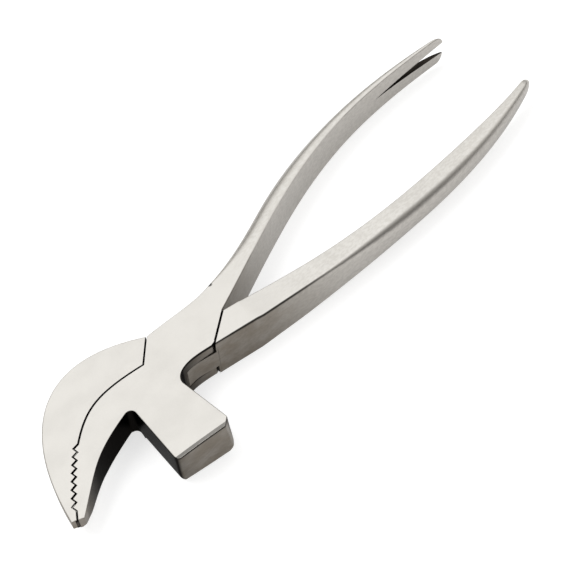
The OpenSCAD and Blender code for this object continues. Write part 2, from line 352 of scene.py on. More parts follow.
def ground_edges(piece, width_of):
    """Bevels each edge between a face and a wall by the width that a function gives it."""
    mesh = piece.data
    kinds = {}
    for face in mesh.polygons:
        for key in face.edge_keys:
            kinds.setdefault(key, set()).add(abs(face.normal.z) > 0.6)
    widths = [0.0] * len(mesh.edges)
    for edge in mesh.edges:
        if len(kinds[edge.key]) == 2:
            widths[edge.index] = width_of(*[mesh.vertices[i].co / MM for i in edge.vertices])
    widest = max(widths)
    weights = mesh.attributes.new("bevel_weight_edge", "FLOAT", "EDGE")
    weights.data.foreach_set("value", [width / widest for width in widths])
    select_only(piece)
    modifier = piece.modifiers.new("Ground edges", "BEVEL")
    modifier.limit_method = "WEIGHT"
    modifier.width = widest * MM
    modifier.segments = 4
    modifier.use_clamp_overlap = False
    bpy.ops.object.modifier_apply(modifier=modifier.name)


def joint_edge(p, q):
    """Width of an edge in the joint: least at the shoulders, most on the teeth's treads."""
    if min(p.x, q.x) > A_LOW.x - 0.5:
        return SHOULDER_EDGE
    toothed = TOOTH_END.x - 0.1 < min(p.x, q.x) and max(p.x, q.x) < TOOTH_START.x + 0.1
    tread = abs(p.y - q.y) < 0.3 * abs(p.x - q.x)
    return TREAD_EDGE if toothed and tread else LINE_EDGE


def cut(piece, tool, how):
    """Applies a boolean with another object, which is then removed."""
    select_only(piece)
    modifier = piece.modifiers.new("Cut", "BOOLEAN")
    modifier.operation = how
    modifier.solver = "EXACT"
    modifier.object = tool
    before = len(piece.data.polygons)
    bpy.ops.object.modifier_apply(modifier=modifier.name)
    if len(piece.data.polygons) < before / 3:
        raise RuntimeError(f"cutting {piece.name} with {tool.name} lost most of its faces")
    bpy.data.objects.remove(tool)


def edge_cutter(start, end, profile, side, lead):
    """A straight cutter along a line in plan; its profile runs outwards and upwards."""
    out = (end - start).normalized()
    aside = Vector((-out.y, out.x)) * side
    rows = []
    for reach in (lead, (end - start).length + 5):
        at = start + out * reach
        rows.append([Vector((*(at + aside * u), z)) * MM for u, z in profile])
    return loft("edge_cutter", rows)


def bore(piece, radius, head_t):
    """Cuts the pivot's hole."""
    bpy.ops.object.select_all(action="DESELECT")
    bpy.ops.mesh.primitive_cylinder_add(vertices=96, radius=radius * MM, depth=3 * head_t * MM)
    cut(piece, bpy.context.object, "DIFFERENCE")


def finish_piece(piece, body, node, materials, dark=None):
    """Smooths a piece, gives it its materials and puts it on its body."""
    select_only(piece)
    bpy.ops.object.mode_set(mode="EDIT")
    bpy.ops.mesh.select_all(action="SELECT")
    bpy.ops.mesh.remove_doubles(threshold=0.004 * MM)
    bpy.ops.mesh.normals_make_consistent(inside=False)
    bpy.ops.object.mode_set(mode="OBJECT")
    bpy.ops.object.shade_smooth_by_angle(angle=math.radians(30))
    weigh = piece.modifiers.new("Weighted Normals", "WEIGHTED_NORMAL")
    weigh.keep_sharp = True
    weigh.weight = 90
    bpy.ops.object.modifier_apply(modifier=weigh.name)
    piece.data.materials.clear()
    for material in materials:
        piece.data.materials.append(material)
    for face in piece.data.polygons:
        if dark:
            face.material_index = dark(face.center / MM, face.normal, face.area / MM**2)
    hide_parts(node)
    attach(piece, body)


# ---------------------------------------------------------------- handles


def corner(y, z, size, side, start, steps):
    """Oval corner of a cross-section."""
    turns = [math.radians(start + 90 * i / steps) for i in range(steps + 1)]
    return [(y + side * size[0] * math.cos(a), z + size[1] * math.sin(a)) for a in turns]


def ring(p_in, p_out, height, oval, under, crisp, mid):
    """Cross-section of a handle between two points in plan, flat inside and oval outside."""
    w = (p_out - p_in).length
    across = (p_out - p_in) / w
    up, in_up = height / 2 - oval[1], height / 2 - crisp[1]
    row = (
        corner(w - oval[0], mid + up, oval, 1, 0, 12)
        + corner(crisp[0], mid + in_up, crisp, 1, 90, 5)
        + corner(crisp[0], mid - in_up, crisp, 1, 180, 5)
        + corner(w - under[0], mid - height / 2 + under[1], under, 1, 270, 12)
    )
    return [Vector((*(p_in + across * u), z)) * MM for u, z in row]


def eased(x, run):
    """Smooth step from 0 to 1 along a run."""
    s = min(1.0, max(0.0, (x - run[0]) / (run[1] - run[0])))
    return s * s * (3 - 2 * s)


def handle_rings(root, end, walls, heights, nose, claw_mouth, head_t, shape):
    """Rings of a handle from its root to its rounded end; a claw is a blade."""
    rings = []
    stations = 84
    for i in range(stations + 1):
        x = root + (end - root) * (1 - (1 - i / stations) ** 1.6)
        past = max(0.0, (x - end + nose) / nose)
        shrink = max(0.1, math.sqrt(max(0.0, 1 - past * past)))
        t = max(0.0, (x - CLAW_ROOT) / (end - CLAW_ROOT))
        inner, outer = pull(walls[0], t), pull(walls[1], t)
        full = min(head_t, pull(heights, t))
        side = 1 if outer > inner else -1
        if claw_mouth:
            w = abs(outer - inner) * (0.3 + 0.7 * shrink)
            # The lower tine keeps its thickness nearer to its end
            late = max(0.0, (x - end + nose * 0.5) / (nose * 0.5))
            ends_at = [shrink, math.sqrt(max(0.0, 1 - late * late))]
            fall = (full - claw_mouth - 2 * TINE_END) / 0.85
            above, below = [(full - fall * (1 - max(0.15, share))) / 2 for share in ends_at]
            h, mid = above + below, head_t / 2 + (above - below) / 2
            middle = inner + side * w / 2
        else:
            w, h, mid = abs(outer - inner) * shrink, full * shrink, head_t / 2
            middle = (inner + outer) / 2
        grow = eased(x, shape["run"])
        crisp = [min(c, size / 4) for c, size in zip(shape["crisp"], (w, h))]
        wide_share, high_share = shape["oval"]
        if claw_mouth:
            # The top's inner side falls away gently and ends in a crisp edge, and its outer
            # side is flatter near the root
            crisp = [crisp[0] + (min(SOFT_SIDE, w / 4) - crisp[0]) * grow, crisp[1]]
            high_share *= 0.5 + 0.5 * eased(x, (55, 105))
        oval, under = [
            [
                max(min(least[0], w / 3), w * wide_share * grow),
                max(min(least[1], h / 3), h * high_share * grow),
            ]
            for least in (shape["least"], shape["crisp"])
        ]
        ends = [Vector((x, middle - side * w / 2)), Vector((x, middle + side * w / 2))]
        rings.append(ring(*ends, h, oval, under, crisp, mid))
    return rings


def loft(name, rings):
    """A solid drawn out ring by ring."""
    n = len(rings[0])
    bpy.ops.object.select_all(action="DESELECT")
    bpy.ops.mesh.primitive_circle_add(vertices=n, radius=1, fill_type="NGON")
    piece = bpy.context.object
    piece.name = piece.data.name = name
    bpy.ops.object.mode_set(mode="EDIT")
    bpy.ops.mesh.select_all(action="SELECT")
    for _ in rings[1:]:
        bpy.ops.mesh.extrude_region_move(TRANSFORM_OT_translate={"value": (MM, 0, 0)})
    bpy.ops.object.mode_set(mode="OBJECT")
    for i, row in enumerate(rings):
        for j, point in enumerate(row):
            piece.data.vertices[i * n + j].co = point
    outward(piece)
    return piece


# ---------------------------------------------------------------- materials

SMOOTH = {"interpolation_type": "SMOOTHSTEP"}
COLOURS = {"data_type": "RGBA", "out": 2}
DOT = {"operation": "DOT_PRODUCT", "out": "Value"}
# A map range's results where it goes from full to nothing
GONE = {3: 1.0, 4: 0.0}
# Near black of the painted shade in the jaws' gap and along the joint's edges
PAINTED_GAP_BLACK = "#0C0B0A"
# Steel under forge scale, and where shade is painted, shines less at a slant
SCALE_AND_SHADE_TINT = "#BCBCBC"


def add_node(tree, kind, inputs=None, out=0, **settings):
    """Adds a node with its settings, values and links, and returns one of its outputs."""
    node = tree.nodes.new("ShaderNode" + kind)
    for key, value in settings.items():
        setattr(node, key, value)
    for key, value in (inputs or {}).items():
        if isinstance(value, bpy.types.NodeSocket):
            tree.links.new(value, node.inputs[key])
        else:
            node.inputs[key].default_value = value
    return node.outputs[out] if len(node.outputs) else node


def only_where(tree, amount, *shares):
    """An amount that is kept only where every share is full."""
    for share in shares:
        amount = add_node(tree, "Math", {0: amount, 1: share}, operation="MULTIPLY")
    return amount


def giving_way(tree, value, start, stop, before, after, most=1.0):
    """One colour that gives way to another while a value goes from start to stop."""
    inputs = {0: value, 1: start, 2: stop, 4: most}
    share = add_node(tree, "MapRange", inputs, **SMOOTH)
    return add_node(tree, "Mix", {0: share, 6: before, 7: after}, **COLOURS)


def mottling(tree, place, stretch, detail=3.0):
    """Noise whose grain has the given length along each axis, in mm."""
    scale = tuple(1000.0 / s for s in stretch)
    stretched = add_node(tree, "VectorMath", {0: place, 1: scale}, operation="MULTIPLY")
    inputs = {"Vector": stretched, "Scale": 1.0, "Detail": detail}
    return add_node(tree, "TexNoise", inputs, out="Fac")


def spots(tree, place, rows):
    """Strongest of some round spots: a point in plan, radii where full and gone, a strength."""
    strongest = 0.0
    for point, full, none, strength in rows:
        inputs = {0: place, 1: (1000.0, 1000.0, 0.0), 2: (-point[0], -point[1], 0.0)}
        flat = add_node(tree, "VectorMath", inputs, operation="MULTIPLY_ADD")
        away = add_node(tree, "VectorMath", {0: flat}, out="Value", operation="LENGTH")
        inputs = {0: away, 1: full, 2: none, 3: strength, 4: 0.0}
        spot = add_node(tree, "MapRange", inputs, **SMOOTH)
        inputs = {0: strongest, 1: spot}
        strongest = add_node(tree, "Math", inputs, operation="MAXIMUM")
    return strongest


def placed(tree):
    """Object coordinates and surface direction, and x and z in mm."""
    outputs = add_node(tree, "TexCoord").node.outputs
    axes = add_node(tree, "SeparateXYZ", {0: outputs["Object"]}).node.outputs
    x, z = (
        add_node(tree, "Math", {0: axes[name], 1: 1000.0}, operation="MULTIPLY")
        for name in ("X", "Z")
    )
    return outputs["Object"], outputs["Normal"], x, z


def half_thickness(tree, x, head_t):
    """Half the head's thickness in mm, where the jaws thin towards their tips."""
    reach = add_node(tree, "Math", {0: -TAPER_START, 1: x}, operation="SUBTRACT")
    reach = add_node(tree, "Math", {0: reach, 1: 0.0}, operation="MAXIMUM")
    fall = add_node(tree, "Math", {0: reach, 1: reach}, operation="MULTIPLY")
    fall = add_node(tree, "Math", {0: fall, 1: 2 * TAPER_R}, operation="DIVIDE")
    return add_node(tree, "Math", {0: head_t / 2, 1: fall}, operation="SUBTRACT")


def metal(tree, colour, grain, rough, relief, bump_mm, strength, scale_and_shade=None):
    """Metal whose roughness follows a grain, with the dimmer shine of scale and painted shade all
    over or in part.
    """
    inputs = {"Height": relief, "Strength": strength, "Distance": bump_mm * MM}
    bump = add_node(tree, "Bump", inputs)
    inputs = {0: grain, 1: 0.3, 2: 0.7, 3: rough[0], 4: rough[1]}
    uneven = add_node(tree, "MapRange", inputs, **SMOOTH)
    tint = linear(SCALE_AND_SHADE_TINT)
    if scale_and_shade:
        inputs = {0: scale_and_shade, 6: linear("#FFFFFF"), 7: tint}
        tint = add_node(tree, "Mix", inputs, **COLOURS)
    inputs = {"Base Color": colour, "Metallic": 1.0, "Roughness": uneven, "Normal": bump}
    inputs["Specular Tint"] = tint
    shader = add_node(tree, "BsdfPrincipled", inputs)
    add_node(tree, "OutputMaterial", {"Surface": shader})


def new_material(name):
    """An empty node material."""
    material = bpy.data.materials.new(name)
    material.use_nodes = True
    material.node_tree.nodes.clear()
    return material, material.node_tree


def ground_steel(name, finish, head_t, scale_and_shade_patches, painted_rims, shade_bands=(), slope=0.0, nick=None):
    """Forged carbon steel: belt-ground faces come out pale, the walls darker, partly their skin and
    partly painted shade.
    """
    material, tree = new_material(name)
    # Near black for forge scale and for the painted shade below
    scale = finish.scale
    place, normal, x, z = placed(tree)
    facing = add_node(tree, "SeparateXYZ", {0: normal}, out="Z")
    upright = add_node(tree, "Math", {0: facing}, operation="ABSOLUTE")
    on_handle = add_node(tree, "MapRange", {0: x, 1: 18.0, 2: 50.0}, **SMOOTH)

    # Wiping marks some 12 mm long, and the belt's grain, drawn out along the handles and
    # coarser than the real one so that it shows
    wiped = mottling(tree, place, (14.0, 9.0, 9.0), 4.0)
    speckle = mottling(tree, place, (1.6, 0.7, 0.7), 5.0)
    grain = mottling(tree, place, (0.5, 0.3, 0.3), 2.0)
    mottle = mottling(tree, place, (7.0, 5.0, 4.0), 5.0)

    # The handles' faces were ground less finely than the head's
    face = giving_way(tree, wiped, 0.35, 0.68, finish.face, finish.face_wiped)
    specks = giving_way(tree, speckle, 0.38, 0.62, linear("#C9C5BF"), linear("#FFFFFF"))
    inputs = {0: 1.0, 6: face, 7: specks}
    speckled = add_node(tree, "Mix", inputs, blend_type="MULTIPLY", **COLOURS)
    part = add_node(tree, "Math", {0: on_handle, 1: 0.22}, operation="MULTIPLY")
    face = add_node(tree, "Mix", {0: part, 6: face, 7: speckled}, **COLOURS)

    wall = giving_way(tree, mottle, 0.32, 0.68, finish.wall, finish.wall_brown)
    wall = giving_way(tree, x, 12.0, 60.0, wall, finish.wall_far)
    wall = giving_way(tree, speckle, 0.35, 0.65, wall, linear("#55504A"), most=0.16)

    # Near-black patches, partly forge scale and partly painted shade in the notch and the recesses
    # by the joint, but not on the striking face or the hammer's far wall, and hardly on the last
    # few mm of the jaws, which were dressed after hardening
    inputs = {0: place, 1: (*(H_OUT * 1000), 0.0)}
    outwards = add_node(tree, "VectorMath", inputs, **DOT)
    across = add_node(tree, "VectorMath", {0: normal, 1: (*H_ACROSS, 0.0)}, **DOT)
    scale_and_shade = only_where(
        tree,
        spots(tree, place, scale_and_shade_patches),
        add_node(tree, "MapRange", {0: outwards, 1: 31.0, 2: 31.9, **GONE}, **SMOOTH),
        add_node(tree, "MapRange", {0: across, 1: 0.75, 2: 0.95, **GONE}, **SMOOTH),
        add_node(tree, "MapRange", {0: x, 1: -57.4, 2: -56.4, 3: 0.3}, **SMOOTH),
    )

    # Painted shade lies in narrow bands too, between two depths below the head's upper face:
    # dark lines under the striking face's top edge and along the joint's gaps
    above_mid = add_node(tree, "Math", {0: z, 1: head_t / 2}, operation="SUBTRACT")
    inputs = {0: half_thickness(tree, x, head_t), 1: above_mid}
    depth = add_node(tree, "Math", inputs, operation="SUBTRACT")
    for *spot, high, low in shade_bands:
        starts = {0: depth, 1: high - 0.12, 2: high + 0.12}
        ends = {0: depth, 1: low - 0.2, 2: low + 0.2, **GONE}
        band = only_where(
            tree,
            spots(tree, place, [spot]),
            add_node(tree, "MapRange", starts, **SMOOTH),
            add_node(tree, "MapRange", ends, **SMOOTH),
        )
        scale_and_shade = add_node(tree, "Math", {0: scale_and_shade, 1: band}, operation="MAXIMUM")
    wall = add_node(tree, "Mix", {0: scale_and_shade, 6: wall, 7: scale}, **COLOURS)

    # A surface counts as a face by how flat it lies, on a rounded handle more strictly; steeper
    # surfaces take the darker wall tone, partly painted shade, and on the rounded handles painted
    # shading
    steep, level = (
        add_node(tree, "Math", {0: on_handle, 1: rise, 2: least}, operation="MULTIPLY_ADD")
        for rise, least in ((slope, 0.45), (slope / 5, 0.93))
    )
    tone = giving_way(tree, upright, steep, level, wall, face)

    # Painted dark reflection: the rounded rims between a wall and a face are painted near black
    # where they look towards -y
    towards = add_node(tree, "VectorMath", {0: normal, 1: (0.0, -1.0, 0.0)}, **DOT)
    painted_rim = only_where(
        tree,
        add_node(tree, "MapRange", {0: upright, 1: 0.28, 2: 0.5}, **SMOOTH),
        add_node(tree, "MapRange", {0: upright, 1: 0.72, 2: 0.9, **GONE}, **SMOOTH),
        add_node(tree, "MapRange", {0: towards, 1: 0.1, 2: 0.35}, **SMOOTH),
        spots(tree, place, painted_rims),
    )
    tone = add_node(tree, "Mix", {0: painted_rim, 6: tone, 7: scale}, **COLOURS)

    if nick:
        mark = only_where(
            tree,
            spots(tree, place, [(nick, 0.5, 1.1, 0.92)]),
            add_node(tree, "MapRange", {0: speckle, 1: 0.3, 2: 0.5}, **SMOOTH),
            add_node(tree, "MapRange", {0: depth, 1: 0.8, 2: 1.8, **GONE}, **SMOOTH),
        )
        tone = add_node(tree, "Mix", {0: mark, 6: tone, 7: scale}, **COLOURS)

    # Painted shade of the gap between the jaws, a near-black line drawn on across their tips
    split = Vector((TOOTH_END.y - TIP_MID.y, TIP_MID.x - TOOTH_END.x)).normalized()
    inputs = {0: place, 1: (*(split * 1000), 0.0)}
    offset = add_node(tree, "VectorMath", inputs, **DOT)
    inputs = {0: offset, 1: TIP_MID.dot(split) - 0.13}
    offset = add_node(tree, "Math", inputs, operation="SUBTRACT")
    offset = add_node(tree, "Math", {0: offset}, operation="ABSOLUTE")
    inputs = {0: offset, 1: 0.24, 2: 0.34, 3: 0.97, 4: 0.0}
    past_teeth = {0: x, 1: TOOTH_END.x - 0.4, 2: TOOTH_END.x, **GONE}
    gap = only_where(
        tree,
        add_node(tree, "MapRange", inputs, **SMOOTH),
        add_node(tree, "MapRange", past_teeth, **SMOOTH),
    )
    tone = add_node(tree, "Mix", {0: gap, 6: tone, 7: linear(PAINTED_GAP_BLACK)}, **COLOURS)

    coarser = add_node(tree, "Math", {0: on_handle, 1: 2.0}, operation="MULTIPLY")
    inputs = {0: speckle, 1: coarser, 2: grain}
    relief = add_node(tree, "Math", inputs, operation="MULTIPLY_ADD")
    metal(tree, tone, grain, (0.28, 0.4), relief, 0.02, 0.35, scale_and_shade)
    return material


def joint_shade(head_t):
    """Meeting faces of the joint and jaws in painted shade: dark steel, near black at the edges."""
    material, tree = new_material("Joint faces, painted shade")
    place, _, x, z = placed(tree)
    patchy = mottling(tree, place, (1.5, 1.5, 1.5))
    height = add_node(tree, "Math", {0: z, 1: head_t / 2}, operation="SUBTRACT")
    height = add_node(tree, "Math", {0: height}, operation="ABSOLUTE")
    inputs = {0: half_thickness(tree, x, head_t), 1: height}
    depth = add_node(tree, "Math", inputs, operation="SUBTRACT")
    shaded_steel = giving_way(tree, patchy, 0.3, 0.7, linear("#4A4642"), linear("#625D57"))
    shaded_edges = giving_way(tree, patchy, 0.3, 0.7, linear(PAINTED_GAP_BLACK), linear("#1A1816"))
    colour = giving_way(tree, depth, 0.7, 1.5, shaded_edges, shaded_steel)
    metal(tree, colour, patchy, (0.45, 0.6), patchy, 0.03, 0.3)
    return material


def claw_slot_shade():
    """Inside of the claw's slot in painted shade, matt and nearly black."""
    material, tree = new_material("Near black, scale and painted shade")
    place = add_node(tree, "TexCoord", out="Object")
    patchy = mottling(tree, place, (3.0, 1.2, 1.2), 4.0)
    colour = giving_way(tree, patchy, 0.3, 0.7, linear("#2E2B27"), linear("#46413B"))
    metal(tree, colour, patchy, (0.42, 0.6), patchy, 0.03, 0.3)
    return material


# ---------------------------------------------------------------- grinding the hammer half


def round_lower_edges(head, under_r):
    """Rounds the hammer's two lower edges, the far one more."""
    far_r = under_r * FAR_ROUNDER
    for root, end, side, r in ((ROOT_L, FACE_L, -1, under_r), (ROOT_R, FACE_R, 1, far_r)):
        under = [Vector((1.0, -1.0)), Vector((1.0, r))]
        under += arc((-r, r), r, 0, -90, 12) + [Vector((-r, -1.0))]
        cut(head, edge_cutter(root, end, under, side, under_r / 2), "DIFFERENCE")


def break_striking_face(head, head_t):
    """Breaks the striking face along its upper and lower edges."""
    for z, way in ((head_t, 1), (0, -1)):
        broken = (
            (1.0, z - way * BROKEN_DOWN),
            (-0.05, z - way * BROKEN_DOWN),
            (-BROKEN_BACK, z + way * 0.02),
            (1.0, z + way * 1.0),
        )
        profile = [Vector(corner_at) for corner_at in broken]
        cut(head, edge_cutter(FACE_L, FACE_R, profile, -1, -3.0), "DIFFERENCE")


def grind_far_corner(head, head_t):
    """Grinds off the corner between striking face and far wall, most at the top."""
    side_r = (FACE_R - ROOT_R).normalized()
    rows = []
    for z, on_face, on_side in ((1.5, 0.9, 0.6), (head_t + 1, 2.7, 2.2)):
        p, q = FACE_R - H_FACE * on_face, FACE_R - side_r * on_side
        away = (FACE_R - (p + q) / 2).normalized() * 5
        p, q = p + (p - q).normalized() * 3, q + (q - p).normalized() * 3
        rows.append([Vector((*c, z)) * MM for c in (p, q, q + away, p + away)])
    cut(head, loft("corner_cutter", rows), "DIFFERENCE")


def bevel_row(at, into, wide, high, past, low=0.0):
    """One ring of a cutter that bevels a lower edge, wide in plan and high up the wall."""
    row = (
        (at + into * wide, -1),
        (at + into * wide, 0),
        (at - into * past, high),
        (at - into * 3, high),
        (at - into * 3, -1),
    )
    return [Vector((*c, low + z)) * MM for c, z in row]


def ease_notch(head):
    """Runs the eased lower edge of the notch out along the inner jaw."""
    rows = []
    for i in range(15):
        at = JAW_INSIDE[-1 - i]
        on = (at - JAW_INSIDE[-2 - i]).normalized()
        at = at + on * (0.8 if i == 0 else 0)
        gone = (at - JAW_INSIDE[-1]).length / NOTCH_RUN
        left = max(0.01, 1 - gone) ** 1.4 if i else 1
        wide, high = (most * left for most in NOTCH_EASE)
        rows.append(bevel_row(at, Vector((-on.y, on.x)), wide, high, 0.02))
    cut(head, loft("notch_cutter", rows), "DIFFERENCE")


def grind_tip(head):
    """Grinds away the tip's lower inner corner."""
    wall = TIP_WALL.normalized()
    into = Vector((-wall.y, wall.x))
    rows = []
    for reach, ground in ((6.5, 0.0), (-3.0, 2.6)):
        at = TIP_IN + wall * reach
        low = thinning(max(at.x, TIP_IN.x))
        rows.append(bevel_row(at, into, ground, ground, 0.05, low))
    cut(head, loft("tip_cutter", rows), "DIFFERENCE")


def ease_crotch(head):
    """Eases the lower end of the notch's round bottom with a cone."""
    wide, high = CROTCH_EASE
    slope = (wide + 0.2) / high
    bpy.ops.object.select_all(action="DESELECT")
    bpy.ops.mesh.primitive_cone_add(
        vertices=96,
        radius1=(CROTCH_R + wide + slope) * MM,
        radius2=(CROTCH_R - 0.2) * MM,
        depth=(high + 1) * MM,
        location=(CROTCH_AT.x * MM, CROTCH_AT.y * MM, (high - 1) / 2 * MM),
    )
    cut(head, bpy.context.object, "DIFFERENCE")


def claw_handle(t, slot_len, mouth):
    """Draws out the claw handle as an upright blade and splits its end with a wedge."""
    shape = {"run": (14, 50), "oval": (0.7, 0.42), "least": (0.4, 0.4), "crisp": (0.5, 0.5)}
    walls = (CLAW_INNER, CLAW_OUTER)
    rings = handle_rings(CLAW_ROOT, CLAW_END, walls, CLAW_HEIGHTS, CLAW_NOSE, mouth, t, shape)
    # The first ring laps into the head, a little smaller
    lap = [p - Vector((0.6 * MM, 0, 0)) for p in rings[0]]
    middle = sum(lap, Vector()) / len(lap)
    rings.insert(0, [middle + (p - middle) * 0.997 for p in lap])
    grip = loft("claw_handle", rings)

    bpy.ops.object.select_all(action="DESELECT")
    bpy.ops.mesh.primitive_cube_add(size=1)
    wedge = bpy.context.object
    slot_start = CLAW_END - slot_len
    for v in wedge.data.vertices:
        near_end = v.co.x < 0
        x = slot_start if near_end else slot_start + 2 * slot_len
        high = v.co.z * (0.02 if near_end else mouth * 2)
        v.co = Vector((x, v.co.y * 60 + 20, t / 2 + high)) * MM
    cut(grip, wedge, "DIFFERENCE")
    return grip


# ---------------------------------------------------------------- properties


def mm_property(name, description, mm):
    """A length that a user can change, written here in mm and held in metres."""
    return bpy.props.FloatProperty(
        name=name, description=description, default=mm * MM, min=0.0, precision=4, unit="LENGTH"
    )


def colour_property(name, code):
    """A colour that a user can change, written here as sRGB hex and held linear."""
    return bpy.props.FloatVectorProperty(
        name=name,
        description="Colour of this finish",
        default=linear(code),
        min=0.0,
        max=1.0,
        size=4,
        subtype="COLOR",
    )


class PliersSizes(bpy.types.PropertyGroup):
    """Sizes of the pliers that a maker would change."""

    head_t: mm_property("Head thickness", "Across the head's two ground faces", 14.6)
    edge_r: mm_property("Edge radius", "Rounding of the ground edges", 0.4)
    under_r: mm_property("Lower rounding", "Rounding along the underside of the hammer", 3.4)
    claw_len: mm_property("Claw slot length", "How deep the claw's slot runs", 38.0)
    claw_mouth: mm_property("Claw slot mouth", "Width of the claw's slot at its mouth", 4.6)


class PliersFinish(bpy.types.PropertyGroup):
    """Colours of the pliers' steel."""

    face: colour_property("Ground faces", "#EEEBE5")
    face_wiped: colour_property("Wiped patches", "#E8E5DF")
    wall: colour_property("Walls", "#8E8880")
    wall_brown: colour_property("Brown tint on the walls", "#7F776C")
    wall_far: colour_property("Walls along the handles", "#C6C2BC")
    # Near black of forge scale, also used for the painted shade in the notch, recesses, bands and
    # rims
    scale: colour_property("Near black, scale and painted shade", "#12100F")


# ---------------------------------------------------------------- builders


class MESH_OT_hammer_half(bpy.types.Operator):
    """Builds the half with the inner jaw, the hammer, the cheeks and the claw handle"""

    bl_idname = "mesh.pliers_hammer_half"
    bl_label = "Hammer Half"

    def execute(self, context):
        size = context.scene.pliers_sizes
        finish = context.scene.pliers_finish
        t, slot_len, mouth = size.head_t / MM, size.claw_len / MM, size.claw_mouth / MM
        head = plate("hammer_half_visual", hammer_half_plan(), 0, t)
        joint_line = [A_TOP, A_LOW] + MEETING
        shoulder_line = [B_LOW, B_TOP]

        def width_of(p, q):
            at = (p + q).to_2d() / 2
            if min(p.x, q.x) > CLAW_ROOT - 0.01:
                return 0.0
            if min(from_line(at, joint_line), from_line(at, shoulder_line)) < ON_LINE:
                return joint_edge(p, q)
            return size.edge_r / MM

        ground_edges(head, width_of)
        round_lower_edges(head, size.under_r / MM)
        break_striking_face(head, t)
        grind_far_corner(head, t)
        ease_notch(head)
        thin_jaws(head, t)
        grind_tip(head)
        slack = TONGUE_T / 2 + CHEEK_GAP
        slot_plan = hub_and_arms(HUB_R + HUB_GAP, SLOT_PAST)
        cut(head, plate("slot", slot_plan, t / 2 - slack, t / 2 + slack), "DIFFERENCE")
        ease_crotch(head)
        cut(head, claw_handle(t, slot_len, mouth), "UNION")
        bore(head, PIN_R, t)

        # Faces in the head's slot and along the joint's lines take the joint's painted shade; the
        # claw slot's inner faces take the slot's painted shade
        def dark(centre, normal, area):
            at = centre.to_2d()
            depth = abs(centre.z - t / 2)
            if depth < slack + 0.01 and at.length < INNER_REACH and abs(at.x) < 13:
                if min(from_line(at, row) for row in (BELLY, BACK, ARMPIT)) > ON_WALL:
                    return 1
            if abs(normal.z) < FLAT or area < SMALL:
                if from_line(at, joint_line) < 0.2 or from_line(at, shoulder_line) < 0.14:
                    return 1
            past = centre.x - (CLAW_END - slot_len)
            rise = mouth / slot_len / 2 * past
            # The claw slot's inner faces take its painted shade
            return 2 if past > 0 and abs(depth - rise) < 0.06 and abs(normal.z) > 0.9 else 0

        # Each has a middle, radii where full and gone, and a strength; the bands of painted shade
        # add two depths
        under_joint = (-2.0, -8.0)
        scale_and_shade_patches = [((-28.9, -9.0), 16.0, 36.0, 0.99), ((-8.5, -8.5), 0.8, 2.0, 1.0)]
        painted_rims = [(under_joint, 8.0, 13.0, 0.95), ((-22.0, -30.0), 12.0, 16.0, 0.5)]
        shade_bands = [
            (under_joint, 7.5, 9.5, 0.96, 0.0, 1.0),
            (FACE_MID, 9.2, 10.4, 0.85, 0.6, 1.4),
            (under_joint, 9.0, 10.5, 0.95, 10.7, 11.3),
        ]
        nick = (21.1, 7.4)
        steel = ground_steel("Ground forged steel", finish, t, scale_and_shade_patches, painted_rims, shade_bands, 0.3, nick)
        materials = [steel, joint_shade(t), claw_slot_shade()]
        finish_piece(head, HAMMER_BODY, "hammer_half", materials, dark)
        return {"FINISHED"}


